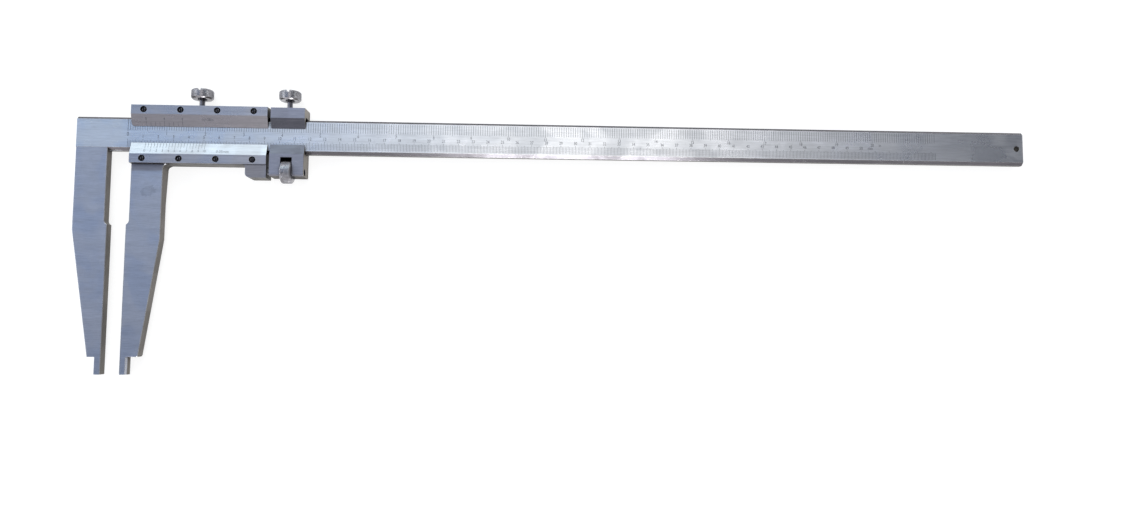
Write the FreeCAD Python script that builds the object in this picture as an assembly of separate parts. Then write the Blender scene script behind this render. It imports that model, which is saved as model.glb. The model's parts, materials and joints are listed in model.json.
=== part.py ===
"""Long jaw vernier caliper, 500 mm range, with fine adjustment, lying on its back.

The model is laid out on three natural datums, in millimetres:
X = 0 is the measuring face of the fixed jaw, and X grows along the beam.
Y = 0 is the middle of the beam. The jaws point to -Y and the lock screws to +Y.
Z = 0 is the plane on which the slider's back rests, and the scales face +Z.
At the end every piece moves by one offset, to the centre of the caliper's footprint.
"""
import FreeCAD, Part
import math
import os

from FreeCAD import Vector

# Beam
measuring_range = 500.0
beam_height = 23.4
beam_thickness = 7.0
beam_edge_chamfer = 1.6
beam_scale_chamfer = 2.1
beam_end_margin = 11.7
hanging_hole_diameter = 4.0
hanging_hole_inset = 4.7

# Both jaws
jaw_width = 22.5
jaw_reach = 148.0
jaw_recess = 0.1
jaw_edge_break = 0.35
nib_length = 11.5
nib_width = 5.0
nib_round_radius = 6.0
relief_depth = 1.8
relief_length = 46.2
relief_cutter_radius = 3.0

# Fixed jaw, its tenon in the beam and the rivets through both
fixed_taper_start = 52.8
fixed_tip_width = 9.0
head_relief_depth = 0.8
head_relief_end = 14.0
tenon_thickness = 3.0
tenon_end_inset = 3.5
tenon_overhang = 7.0
tenon_top_inset = 2.2
rivet_diameter = 4.0
rivet_edge_distance = 4.0
rivet_row_distance = 13.2

# Moving jaw
opening_at_rest = 12.2
moving_taper_start = 58.5
moving_tip_width = 11.9
moving_tip_round = 1.5
moving_jaw_drop = 0.8
root_slope_length = 27.0
jaw_root_fillet = 3.0

# Slider frame
slide_clearance = 0.05
back_wall = 3.95
slider_inset = 1.4
slider_length = 89.6
frame_wall = 8.0
frame_edge_break = 0.6

# Gibs between the beam's upper edge and the lock screws
gib_thickness = 1.5
gib_side_clearance = 0.2
gib_end_inset = 2.0
gib_dimple_depth = 0.6

# Vernier plates and their screws
plate_thickness = 2.95
plate_lip = 0.1
plate_flat_width = 6.2
plate_overlap = 6.1
plate_edge_thickness = 0.3
plate_corner_radius = 1.6
plate_screw_count = 4
plate_screw_inset = 8.2
plate_screw_pitch = 24.1
plate_screw_diameter = 2.5
plate_screw_depth = 6.4
screw_head_diameter = 3.6
screw_head_height = 1.45
screw_head_dome = 0.8
screw_head_room = 0.15
screw_slot_width = 0.6
screw_slot_depth = 0.7
screw_hole_clearance = 0.15
screw_head_clearance = 0.35

# Gib set screws, one on each side of the slider's lock screw
set_screw_diameter = 3.0
set_screw_offset = 30.0
set_screw_recess = 0.7
set_screw_point_diameter = 1.5
set_screw_point_length = 0.5

# Lock screws
slider_lock_inset = 44.1
clamp_lock_inset = 11.0
lock_shank_diameter = 3.6
lock_point_diameter = 2.0
lock_knob_diameter = 14.6
lock_knob_thickness = 6.4
lock_knob_stand_off = 5.6
lock_knob_top_chamfer = 0.8
lock_knob_under_chamfer = 1.0
lock_boss_diameter = 6.0
lock_boss_height = 0.8
lock_slot_width = 2.0
lock_slot_depth = 1.6

# Clamp block of the fine adjustment
slider_block_gap = 2.1
block_length = 22.7
block_top_wall = 7.6
block_lower_wall = 15.5
block_flat_top = 7.1
block_edge_break = 0.9
nut_window_width = 7.5
nut_window_left = 7.4
nut_window_roof = 2.8
nut_window_back = 1.9
block_exit_hole_diameter = 4.4

# Fine adjusting screw, its lug on the slider, its pin and its knurled nut
fine_axis_drop = 12.5
fine_axis_depth = 1.0
fine_screw_diameter = 4.0
fine_screw_start = 1.1
fine_screw_end_inset = 2.5
lug_length = 13.8
lug_drop = 8.7
lug_front_rise = 3.2
lug_corner_radius = 3.0
lug_root_fillet = 1.5
fine_pin_diameter = 1.5
fine_pin_inset = 6.9
fine_pin_recess = 0.3
fine_pin_reach = 1.0
nut_diameter = 15.2
nut_side_clearance = 0.1
nut_edge_chamfer = 0.8

# Fits
running_clearance = 0.05
static_clearance = 0.02
turning_clearance = 0.08

# How far a cutter runs past the face that it cuts
overcut = 1.0

# Levels above the rest plane
beam_back = back_wall + slide_clearance
beam_front = beam_back + beam_thickness
beam_middle = beam_back + beam_thickness / 2
jaw_back = beam_back
jaw_front = beam_front - jaw_recess
moving_jaw_back = jaw_back - moving_jaw_drop
plate_back = beam_front + slide_clearance
plate_front = plate_back + plate_thickness

# Heights across the beam
beam_half = beam_height / 2
head_edge = -beam_half + head_relief_depth
frame_half = beam_half + frame_wall
plate_half = frame_half - plate_lip
bevel_line = plate_half - plate_flat_width
window_half = beam_half - plate_overlap
channel_bottom = -beam_half - slide_clearance
gib_bottom = beam_half + slide_clearance
gib_top = gib_bottom + gib_thickness
channel_top = gib_top + slide_clearance
shoulder_y = -beam_half - jaw_reach + nib_length
nib_tip_y = -beam_half - jaw_reach
root_slope_end = -frame_half - root_slope_length

# Places along the beam
beam_left = -jaw_width
slider_left = opening_at_rest + slider_inset
slider_right = slider_left + slider_length
slider_lock_x = slider_left + slider_lock_inset
block_left = slider_right + slider_block_gap
block_right = block_left + block_length
clamp_lock_x = block_left + clamp_lock_inset
beam_right = block_right - opening_at_rest + measuring_range + beam_end_margin

# Clamp block outline and the fine adjusting axis
block_top = beam_half + block_top_wall
block_bottom = -beam_half - block_lower_wall
block_bevel_line = block_top - block_flat_top
fine_y = -beam_half - fine_axis_drop
fine_z = beam_front - fine_axis_depth
window_left = block_left + nut_window_left
window_right = window_left + nut_window_width
window_roof = channel_bottom - nut_window_roof
lug_left = slider_right - lug_length
lug_bottom = -frame_half - lug_drop

# Knob levels, shared by both lock screws
knob_under_y = frame_half + lock_knob_stand_off
knob_top_y = knob_under_y + lock_knob_thickness


def box(x0, x1, y0, y1, z0, z1):
    """A box from its lowest to its highest corner."""
    return Part.makeBox(x1 - x0, y1 - y0, z1 - z0, Vector(x0, y0, z0))


def cylinder(diameter, start, end):
    """A round bar between two points."""
    run = end - start
    return Part.makeCylinder(diameter / 2, run.Length, start, run)


def path_face(path):
    """A face inside a closed path. An entry is a point, or a pair: on the arc, and its end."""
    edges = []
    here = path[0]
    for step in path[1:] + [path[0]]:
        if isinstance(step, tuple):
            through, end = step
            edges.append(Part.Arc(here, through, end).toShape())
        else:
            end = step
            edges.append(Part.LineSegment(here, end).toShape())
        here = end
    return Part.Face(Part.Wire(edges))


def plan_prism(path, z0, z1):
    """Extrude a path of (x, y) points from z0 up to z1."""
    def lift(step):
        if isinstance(step[0], tuple):
            return tuple(Vector(x, y, z0) for x, y in step)
        return Vector(step[0], step[1], z0)
    return path_face([lift(step) for step in path]).extrude(Vector(0, 0, z1 - z0))


def section_prism(points, x0, x1):
    """Extrude a polygon of (y, z) points from x0 to x1."""
    return path_face([Vector(x0, y, z) for y, z in points]).extrude(Vector(x1 - x0, 0, 0))


def turned(profile, origin, axis, across):
    """Turn a profile of (radius, distance along the axis) points about the axis."""
    points = [origin + across * radius + axis * along for radius, along in profile]
    return path_face(points).revolve(origin, axis, 360)


def chamfer_flat_edges(shape, size, levels, skip):
    """Chamfer the edges that lie at the given Z levels, apart from those that skip names."""
    chosen = []
    for edge in shape.Edges:
        span = edge.BoundBox
        flat = any(abs(span.ZMin - z) < 1e-4 and abs(span.ZMax - z) < 1e-4 for z in levels)
        if flat and not skip(span):
            chosen.append(edge)
    return shape.makeChamfer(size, chosen)


def cutter_exit(side):
    """Where the relief cutter's round edge meets the measuring face, as (x, y) steps."""
    radius = relief_cutter_radius
    wall_end = -beam_half - relief_length
    turn = math.acos((radius - relief_depth) / radius)
    depth_at = lambda angle: relief_depth - radius + radius * math.cos(angle)
    drop_at = lambda angle: wall_end - radius * math.sin(angle)
    wall = (side * relief_depth, wall_end)
    middle = (side * depth_at(turn / 2), drop_at(turn / 2))
    face = (0.0, drop_at(turn))
    return wall, middle, face


def jaw_outline(side, taper_start, tip_width, top_y, root):
    """Jaw outline from the measuring face at x = 0, on the side given by -1 or +1."""
    wall, middle, face = cutter_exit(side)
    taper_y = -beam_half - taper_start
    outline = [
        (side * relief_depth, top_y),
        wall,
        (middle, face),
        (0.0, nib_tip_y),
        (side * nib_width, nib_tip_y),
        (side * nib_width, shoulder_y),
    ]
    if side > 0:
        slope = math.atan2(taper_y - shoulder_y, jaw_width - tip_width)
        tangent = moving_tip_round * math.tan((math.pi - slope) / 2)
        centre = (tip_width - tangent, shoulder_y + moving_tip_round)
        end_angle = slope - math.pi / 2
        middle_angle = (end_angle - math.pi / 2) / 2
        round_point = lambda a: (centre[0] + moving_tip_round * math.cos(a),
                                 centre[1] + moving_tip_round * math.sin(a))
        outline.append((centre[0], shoulder_y))
        outline.append((round_point(middle_angle), round_point(end_angle)))
    else:
        outline.append((side * tip_width, shoulder_y))
    outline.append((side * jaw_width, taper_y))
    outline.extend(root)
    return outline


def shaped_jaw(outline, side, top_y, back, root_back):
    """A jaw with broken edges and a nib whose outer side is round. Its root may be thicker."""
    jaw = plan_prism(outline, root_back, jaw_front)
    if root_back < back:
        behind = [
            (-frame_half, root_back), (root_slope_end, back), (nib_tip_y - overcut, back),
            (nib_tip_y - overcut, root_back - overcut), (-frame_half, root_back - overcut),
        ]
        jaw = jaw.cut(section_prism(behind, -overcut, jaw_width + overcut))

    def skip(span):
        at_top = span.YMin > top_y - 1e-4
        on_shoulder = abs(span.YMin - shoulder_y) < 1e-4 and abs(span.YMax - shoulder_y) < 1e-4
        on_nib_tip = span.YMax < nib_tip_y + 1e-4
        nib_outside = span.YMax < shoulder_y + 1e-4 and abs(span.Center.x) > nib_width / 2
        in_root = span.YMax > -frame_half - jaw_root_fillet + 1e-4 and abs(span.Center.x) > jaw_width
        on_slope_end = abs(span.YMin - root_slope_end) < 1e-4 and abs(span.YMax - root_slope_end) < 1e-4
        return at_top or on_shoulder or on_nib_tip or nib_outside or in_root or on_slope_end

    jaw = chamfer_flat_edges(jaw, jaw_edge_break, (back, jaw_front), skip)
    half = nib_width / 2
    round_x = side * (nib_width - nib_round_radius)
    middle_z = (back + jaw_front) / 2
    outside = sorted((side * half, side * (nib_width + overcut)))
    waste = box(outside[0], outside[1], nib_tip_y - overcut, shoulder_y,
                back - overcut, jaw_front + overcut)
    round_bar = cylinder(2 * nib_round_radius, Vector(round_x, nib_tip_y - 2 * overcut, middle_z),
                         Vector(round_x, shoulder_y + overcut, middle_z))
    return jaw.cut(waste.cut(round_bar))


def beam_section(low):
    """The beam's section down to a lower edge, a bar with its four long edges chamfered."""
    c = beam_edge_chamfer
    return [
        (low + c, beam_back), (beam_half - c, beam_back), (beam_half, beam_back + c),
        (beam_half, beam_front - c), (beam_half - c, beam_front), (low + beam_scale_chamfer, beam_front),
        (low, beam_front - beam_scale_chamfer), (low, beam_back + c),
    ]


def beam_head(start):
    """The beam's left end, from a given place, whose lower edge is cut back for the fixed jaw."""
    return section_prism(beam_section(head_edge), start, head_relief_end)


def tenon_box(clearance):
    """The fixed jaw's tongue, or with a clearance the slot that it fills in the beam."""
    half = tenon_thickness / 2
    return box(beam_left + tenon_end_inset - clearance, tenon_overhang + clearance,
               head_edge, beam_half - tenon_top_inset + clearance,
               beam_middle - half - clearance, beam_middle + half + clearance)


def rivet_places():
    """Centres of the four rivets, near the tongue's corners."""
    left = beam_left + tenon_end_inset + rivet_edge_distance
    right = tenon_overhang - rivet_edge_distance
    rows = (-rivet_row_distance / 2, rivet_row_distance / 2)
    return [(x, y) for x in (left, right) for y in rows]


def make_jaw_rivet(place, clearance=0.0):
    """A rivet, ground flush with both faces of the beam, or with a clearance its hole."""
    x, y = place
    diameter = rivet_diameter + 2 * clearance
    return cylinder(diameter, Vector(x, y, beam_back), Vector(x, y, beam_front))


def make_beam():
    """The main scale bar, slotted for the jaw's tongue, with a hole to hang it by."""
    bar = section_prism(beam_section(-beam_half), head_relief_end, beam_right)
    beam = beam_head(beam_left).fuse(bar).removeSplitter()
    hole_x = beam_right - hanging_hole_inset
    hole = cylinder(hanging_hole_diameter, Vector(hole_x, 0, beam_back - overcut),
                    Vector(hole_x, 0, beam_front + overcut))
    rivet_holes = [make_jaw_rivet(place, static_clearance) for place in rivet_places()]
    return beam.cut([tenon_box(static_clearance), hole] + rivet_holes)


def make_fixed_jaw():
    """The fixed jaw with the tongue that is riveted into the beam."""
    top = head_edge + beam_scale_chamfer - jaw_recess
    outline = jaw_outline(-1, fixed_taper_start, fixed_tip_width, top, [(-jaw_width, top)])
    jaw = shaped_jaw(outline, -1, top, jaw_back, jaw_back).cut(beam_head(beam_left - overcut))
    jaw = jaw.fuse(tenon_box(0.0)).removeSplitter()
    return jaw.cut([make_jaw_rivet(place, static_clearance) for place in rivet_places()])


def plate_screw_places(side):
    """Centres of one plate's screws."""
    y = side * (plate_half - plate_flat_width / 2)
    first = slider_left + plate_screw_inset
    return [(first + i * plate_screw_pitch, y) for i in range(plate_screw_count)]


def lock_hole(x, room):
    """The hole for a lock screw, from the gib out through the top wall."""
    return cylinder(lock_shank_diameter + 2 * room, Vector(x, gib_top, beam_middle),
                    Vector(x, frame_half + overcut, beam_middle))


def set_screw_places():
    """The set screws' places along the slider, one on each side of the lock screw."""
    return (slider_lock_x - set_screw_offset, slider_lock_x + set_screw_offset)


def make_slider_frame():
    """The slider: a channel round three sides of the beam, with the moving jaw and the lug."""
    e = frame_edge_break
    channel = [
        (-frame_half + e, 0.0), (frame_half - e, 0.0), (frame_half, e), (frame_half, plate_back),
        (channel_top, plate_back), (channel_top, back_wall), (channel_bottom, back_wall),
        (channel_bottom, plate_back), (-frame_half, plate_back), (-frame_half, e),
    ]
    frame = section_prism(channel, slider_left, slider_right)

    joint_y = (channel_bottom - frame_half) / 2
    corner_y = -frame_half - jaw_root_fillet
    corner_x = jaw_width + jaw_root_fillet
    on_arc = jaw_root_fillet * math.sqrt(0.5)
    root = [
        (jaw_width, corner_y),
        ((corner_x - on_arc, corner_y + on_arc), (corner_x, -frame_half)),
        (corner_x, joint_y),
    ]
    outline = jaw_outline(1, moving_taper_start, moving_tip_width, joint_y, root)
    jaw = shaped_jaw(outline, 1, joint_y, moving_jaw_back, frame_edge_break)
    jaw.translate(Vector(opening_at_rest, 0, 0))

    r = lug_corner_radius
    f = lug_root_fillet
    on_arc = r * math.sqrt(0.5)
    on_root = f * math.sqrt(0.5)
    lug_path = [
        (slider_right, -frame_half), (lug_left - f, -frame_half),
        ((lug_left - f + on_root, -frame_half - f + on_root), (lug_left, -frame_half - f)),
        (lug_left, lug_bottom + r),
        ((lug_left + r - on_arc, lug_bottom + r - on_arc), (lug_left + r, lug_bottom)),
        (slider_right, lug_bottom),
    ]
    lug = plan_prism(lug_path, frame_edge_break, fine_z + lug_front_rise)

    frame = frame.fuse([jaw, lug]).removeSplitter()
    holes = [lock_hole(slider_lock_x, turning_clearance)]
    for side in (-1, 1):
        for x, y in plate_screw_places(side):
            floor = plate_back - plate_screw_depth
            holes.append(cylinder(plate_screw_diameter + 2 * static_clearance,
                                  Vector(x, y, floor), Vector(x, y, plate_front)))
    for x in set_screw_places():
        holes.append(cylinder(set_screw_diameter + 2 * static_clearance,
                              Vector(x, gib_top, beam_middle),
                              Vector(x, frame_half + overcut, beam_middle)))
    holes.append(cylinder(fine_screw_diameter + 2 * static_clearance,
                          Vector(lug_left + fine_screw_start, fine_y, fine_z),
                          Vector(slider_right + overcut, fine_y, fine_z)))
    holes.append(fine_pin_bar(static_clearance, overcut))
    return frame.cut(holes)


def fine_pin_bar(clearance, extra_length):
    """The pin that holds the fine screw in its lug, or with a clearance its hole."""
    x = lug_left + fine_pin_inset
    bottom = lug_bottom + fine_pin_recess - extra_length
    top = fine_y + fine_screw_diameter / 2 + fine_pin_reach
    return cylinder(fine_pin_diameter + 2 * clearance, Vector(x, bottom, fine_z), Vector(x, top, fine_z))


def make_vernier_plate(side, round_corner):
    """One vernier plate: a flat that is screwed down and a bevel that carries the graduation."""
    section = [
        (side * window_half, plate_back), (side * plate_half, plate_back),
        (side * plate_half, plate_front), (side * bevel_line, plate_front),
        (side * window_half, plate_back + plate_edge_thickness),
    ]
    plate = section_prism(section, slider_left, slider_right)
    if round_corner:
        r = plate_corner_radius
        edge_y = side * window_half
        low, high = sorted((edge_y - side * overcut, edge_y + side * r))
        corner = box(slider_left - overcut, slider_left + r, low, high,
                     plate_back - overcut, plate_front + overcut)
        round_bar = cylinder(2 * r, Vector(slider_left + r, edge_y + side * r, plate_back - 2 * overcut),
                             Vector(slider_left + r, edge_y + side * r, plate_front + 2 * overcut))
        plate = plate.cut(corner.cut(round_bar))
    holes = []
    seat = plate_front - screw_head_height - screw_head_room
    for x, y in plate_screw_places(side):
        holes.append(cylinder(plate_screw_diameter + 2 * screw_hole_clearance,
                              Vector(x, y, plate_back - overcut), Vector(x, y, plate_front)))
        holes.append(cylinder(screw_head_diameter + 2 * screw_head_clearance,
                              Vector(x, y, seat), Vector(x, y, plate_front + overcut)))
    return plate.cut(holes)


def make_plate_screw(place):
    """A slotted screw with a domed head, sunk in its plate."""
    x, y = place
    seat = plate_front - screw_head_height - screw_head_room
    top = seat + screw_head_height
    radius = screw_head_diameter / 2
    dome_radius = (radius ** 2 + screw_head_dome ** 2) / (2 * screw_head_dome)
    tip = plate_back - plate_screw_depth + 2 * static_clearance
    shank = cylinder(plate_screw_diameter, Vector(x, y, tip), Vector(x, y, top - screw_head_dome))
    head = cylinder(screw_head_diameter, Vector(x, y, seat), Vector(x, y, top))
    dome = Part.makeSphere(dome_radius, Vector(x, y, top - dome_radius))
    slot = box(x - screw_slot_width / 2, x + screw_slot_width / 2, y - radius - overcut,
               y + radius + overcut, top - screw_slot_depth, top + overcut)
    return head.common(dome).fuse(shank).removeSplitter().cut(slot)


def gib_strip(left, right):
    """A flat gib that lies on the beam's upper edge."""
    return box(left + gib_end_inset, right - gib_end_inset, gib_bottom, gib_top,
               beam_back + gib_side_clearance, beam_front - gib_side_clearance)


def dimple(x, diameter):
    """A round dimple in a gib's upper side."""
    return cylinder(diameter, Vector(x, gib_top - gib_dimple_depth, beam_middle),
                    Vector(x, gib_top + overcut, beam_middle))


def make_slider_gib():
    """The slider's gib, dimpled for its set screws and for the lock screw."""
    gib = gib_strip(slider_left, slider_right)
    dimples = [dimple(x, set_screw_point_diameter + 2 * static_clearance) for x in set_screw_places()]
    dimples.append(dimple(slider_lock_x, lock_point_diameter + 2 * turning_clearance))
    return gib.cut(dimples)


def make_gib_set_screw(x):
    """A slotted set screw that presses the gib on the beam."""
    top = frame_half - set_screw_recess
    radius = set_screw_diameter / 2
    body = cylinder(set_screw_diameter, Vector(x, gib_top + static_clearance, beam_middle),
                    Vector(x, top, beam_middle))
    point = cylinder(set_screw_point_diameter, Vector(x, gib_top - set_screw_point_length, beam_middle),
                     Vector(x, top, beam_middle))
    slot = box(x - radius - overcut, x + radius + overcut, top - screw_slot_depth, top + overcut,
               beam_middle - screw_slot_width / 2, beam_middle + screw_slot_width / 2)
    return body.fuse(point).removeSplitter().cut(slot)


def make_lock_screw(x):
    """A lock screw with a knurled knob, a slot for a coin and a point in the gib's dimple."""
    knob = lock_knob_diameter / 2
    shank = lock_shank_diameter / 2
    point = lock_point_diameter / 2
    boss = lock_boss_diameter / 2
    shoulder_at = gib_top + static_clearance
    point_at = shoulder_at - gib_dimple_depth
    profile = [
        (0.0, point_at), (point, point_at), (point, shoulder_at), (shank, shoulder_at),
        (shank, knob_under_y - lock_boss_height), (boss, knob_under_y - lock_boss_height),
        (boss, knob_under_y),
        (knob - lock_knob_under_chamfer, knob_under_y), (knob, knob_under_y + lock_knob_under_chamfer),
        (knob, knob_top_y - lock_knob_top_chamfer), (knob - lock_knob_top_chamfer, knob_top_y),
        (0.0, knob_top_y),
    ]
    screw = turned(profile, Vector(x, 0, beam_middle), Vector(0, 1, 0), Vector(1, 0, 0))
    slot = box(x - lock_slot_width / 2, x + lock_slot_width / 2, knob_top_y - lock_slot_depth,
               knob_top_y + overcut, beam_middle - knob - overcut, beam_middle + knob + overcut)
    return screw.cut(slot)


def make_clamp_block():
    """The clamp block: it slides on the beam like the slider and holds the nut in a window."""
    lip = plate_back + plate_edge_thickness
    e = block_edge_break
    section = [
        (block_bottom, e), (block_bottom + e, 0.0), (block_top - e, 0.0), (block_top, e),
        (block_top, plate_front), (block_bevel_line, plate_front),
        (window_half, lip), (window_half, plate_back), (channel_top, plate_back),
        (channel_top, back_wall), (channel_bottom, back_wall), (channel_bottom, plate_back),
        (-window_half, plate_back), (-window_half, lip), (-block_bevel_line, plate_front),
        (block_bottom + e, plate_front), (block_bottom, plate_front - e),
    ]
    block = section_prism(section, block_left, block_right)
    window = box(window_left, window_right, block_bottom - overcut, window_roof,
                 nut_window_back, plate_front + overcut)
    entry = cylinder(fine_screw_diameter + 2 * turning_clearance,
                     Vector(block_left - overcut, fine_y, fine_z),
                     Vector(window_left + overcut, fine_y, fine_z))
    leave = cylinder(block_exit_hole_diameter,
                     Vector(window_right - overcut, fine_y, fine_z),
                     Vector(block_right + overcut, fine_y, fine_z))
    return block.cut([window, entry, leave, lock_hole(clamp_lock_x, turning_clearance)])


def make_clamp_gib():
    """The clamp block's short gib."""
    gib = gib_strip(block_left, block_right)
    return gib.cut(dimple(clamp_lock_x, lock_point_diameter + 2 * turning_clearance))


def make_fine_adjust_screw():
    """The fine adjusting screw, pinned in the slider's lug. It runs through the nut into the block."""
    start = lug_left + fine_screw_start + static_clearance
    screw = cylinder(fine_screw_diameter, Vector(start, fine_y, fine_z),
                     Vector(block_right - fine_screw_end_inset, fine_y, fine_z))
    return screw.cut(fine_pin_bar(static_clearance, overcut))


def make_fine_screw_pin():
    """The pin through the lug and the fine adjusting screw."""
    return fine_pin_bar(0.0, 0.0)


def make_fine_adjust_nut():
    """The knurled nut that stands out of the clamp block's window."""
    left = window_left + nut_side_clearance
    width = nut_window_width - 2 * nut_side_clearance
    outer = nut_diameter / 2
    bore = fine_screw_diameter / 2 + running_clearance
    c = nut_edge_chamfer
    profile = [
        (bore, 0.0), (outer - c, 0.0), (outer, c), (outer, width - c), (outer - c, width),
        (bore, width),
    ]
    return turned(profile, Vector(left, fine_y, fine_z), Vector(1, 0, 0), Vector(0, 1, 0))


nodes = {
    "beam": make_beam(),
    "fixed_jaw": make_fixed_jaw(),
    "slider_frame": make_slider_frame(),
    "inch_vernier_plate": make_vernier_plate(1, True),
    "metric_vernier_plate": make_vernier_plate(-1, False),
    "slider_gib": make_slider_gib(),
    "slider_lock_screw": make_lock_screw(slider_lock_x),
    "clamp_block": make_clamp_block(),
    "clamp_gib": make_clamp_gib(),
    "clamp_lock_screw": make_lock_screw(clamp_lock_x),
    "fine_adjust_screw": make_fine_adjust_screw(),
    "fine_screw_pin": make_fine_screw_pin(),
    "fine_adjust_nut": make_fine_adjust_nut(),
}
for number, place in enumerate(rivet_places(), 1):
    nodes[f"jaw_rivet_{number}"] = make_jaw_rivet(place)
for scale, side in (("inch", 1), ("metric", -1)):
    for number, place in enumerate(plate_screw_places(side), 1):
        nodes[f"{scale}_plate_screw_{number}"] = make_plate_screw(place)
for number, x in enumerate(set_screw_places(), 1):
    nodes[f"gib_set_screw_{number}"] = make_gib_set_screw(x)

# The origin of the finished model is the centre of the footprint, on the rest plane
to_origin = Vector(-(beam_left + beam_right) / 2, -(nib_tip_y + knob_top_y) / 2, 0)

os.makedirs("parts", exist_ok=True)
for name, shape in nodes.items():
    shape.translate(to_origin)
    shape.exportStep(os.path.join("parts", name + ".step"))
    span = shape.BoundBox
    print(f"{name}: {len(shape.Solids)} solid(s), {shape.Volume / 1000:.3f} cm3, valid {shape.isValid()}, "
          f"x {span.XMin:.2f} to {span.XMax:.2f}, y {span.YMin:.2f} to {span.YMax:.2f}, "
          f"z {span.ZMin:.2f} to {span.ZMax:.2f}")
print(f"origin offset {to_origin.x:.3f}, {to_origin.y:.3f}")
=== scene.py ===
"""Long jaw vernier caliper: ground steel, engraved scales, knurled screws and a soft white stage.

Sizes are in metres, in the frame's own axes: X runs along the beam, Y from the jaws to the lock
screws, and Z from the caliper's back to its scales.
"""

import json
import math

import bmesh
import bpy
from mathutils import Euler, Matrix, Vector


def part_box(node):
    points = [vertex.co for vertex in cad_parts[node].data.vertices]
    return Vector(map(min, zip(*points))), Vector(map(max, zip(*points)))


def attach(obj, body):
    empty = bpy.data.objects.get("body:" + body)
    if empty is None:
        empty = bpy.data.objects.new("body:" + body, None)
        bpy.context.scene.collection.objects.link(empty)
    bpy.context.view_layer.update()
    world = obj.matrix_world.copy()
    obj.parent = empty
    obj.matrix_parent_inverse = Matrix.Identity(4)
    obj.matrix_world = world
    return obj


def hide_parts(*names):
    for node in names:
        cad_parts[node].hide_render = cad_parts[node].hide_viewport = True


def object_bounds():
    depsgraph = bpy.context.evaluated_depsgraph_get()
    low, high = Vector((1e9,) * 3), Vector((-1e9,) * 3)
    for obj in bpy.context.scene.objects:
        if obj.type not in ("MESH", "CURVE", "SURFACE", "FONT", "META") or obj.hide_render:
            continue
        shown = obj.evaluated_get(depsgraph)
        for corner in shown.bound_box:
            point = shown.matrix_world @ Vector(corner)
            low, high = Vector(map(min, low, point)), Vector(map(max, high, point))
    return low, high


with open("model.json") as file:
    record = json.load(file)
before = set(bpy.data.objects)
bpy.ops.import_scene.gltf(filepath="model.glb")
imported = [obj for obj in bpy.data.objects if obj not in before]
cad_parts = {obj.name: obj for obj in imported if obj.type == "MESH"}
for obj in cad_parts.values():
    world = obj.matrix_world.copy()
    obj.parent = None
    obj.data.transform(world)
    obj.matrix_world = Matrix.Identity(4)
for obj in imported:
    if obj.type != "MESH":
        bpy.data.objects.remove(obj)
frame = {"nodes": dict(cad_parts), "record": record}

bl_info = {
    "name": "Long Jaw Vernier Caliper",
    "version": (1, 0, 0),
    "blender": (4, 5, 0),
    "location": "View3D > Sidebar > Caliper",
    "description": "Finishes the steel of a long jaw caliper, engraves its scales and knurls its screws",
    "category": "Object",
}

MM = 0.001
INCH = 25.4 * MM
KNURL_EDGE_ANGLE = 28
THREAD_EDGE_ANGLE = 40
CAD_LOW, CAD_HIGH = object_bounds()
MOUNT_PLACES = {mount["name"]: Vector(mount["pos_m"]) for mount in frame["record"]["mounts"]}

RIVETS = [f"jaw_rivet_{number}" for number in range(1, 5)]
PLATE_SCREWS = [f"{scale}_plate_screw_{number}" for scale in ("inch", "metric") for number in range(1, 5)]
SET_SCREWS = [f"gib_set_screw_{number}" for number in range(1, 3)]

CAMERA_TURN = tuple(math.radians(angle) for angle in (4.453, -2.983, 0.333))


# Settings

def colour_prop(name, description, default):
    """A colour that the user may change."""
    return bpy.props.FloatVectorProperty(name=name, description=description, default=default,
                                         subtype="COLOR", size=3, min=0.0, max=1.0)


def length_prop(name, description, millimetres):
    """A length that the user may change, given here in millimetres."""
    return bpy.props.FloatProperty(name=name, description=description, default=millimetres * MM,
                                   min=0.0, precision=5, unit="LENGTH", subtype="DISTANCE")


def share_prop(name, description, default):
    """A share from none to all."""
    return bpy.props.FloatProperty(name=name, description=description, default=default,
                                   min=0.0, max=1.0, subtype="FACTOR")


class CaliperSteel(bpy.types.PropertyGroup):
    """Colours and finishes of the steel."""
    beam: colour_prop("Beam", "Satin ground steel of the scale bar", (0.66, 0.68, 0.71))
    jaw: colour_prop("Jaws", "Ground steel of the jaws and the slider", (0.44, 0.455, 0.515))
    plate: colour_prop("Vernier plates", "Satin steel of the vernier plates", (0.45, 0.435, 0.455))
    clamp: colour_prop("Clamp block", "Coarser ground steel of the clamp block", (0.28, 0.285, 0.34))
    lug: colour_prop("Lug", "Darker steel of the lug that holds the fine screw", (0.31, 0.29, 0.30))
    # Side faces: partly a duller milled finish, partly painted shade
    side: colour_prop("Side faces", "Duller steel of the narrow side faces", (0.20, 0.185, 0.17))
    # Painted shade on the beam's long chamfers
    chamfer: colour_prop("Beam chamfers", "Dark tone of the beam's long chamfers", (0.145, 0.14, 0.157))
    # A painted highlight on chamfers that look to the scale's end
    rubbed: colour_prop("Rubbed edges", "Bright steel where an edge is rubbed", (0.56, 0.58, 0.62))
    screw: colour_prop("Plate screws", "Dark, polished heads of the small screws", (0.055, 0.055, 0.065))
    chrome: colour_prop("Knurled parts", "Bright plating of the knobs and the nut", (0.36, 0.355, 0.38))
    shank: colour_prop("Screw shanks", "Dark steel of the lock screws' shanks", (0.16, 0.16, 0.18))
    turned: colour_prop("Turned parts", "Plain turned steel of the fine screw and gibs", (0.34, 0.34, 0.36))
    roughness: share_prop("Roughness", "How far the ground faces spread a reflection", 0.33)
    grain: share_prop("Grain", "How strongly the grinding marks show", 0.30)
    # How strongly the painted shade darkens corners and recesses
    grime: share_prop("Painted Shade", "How dark the corners and recesses are", 0.75)
    broken_edge: length_prop("Broken edges", "Width of the small bevel on sharp edges", 0.12)


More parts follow.
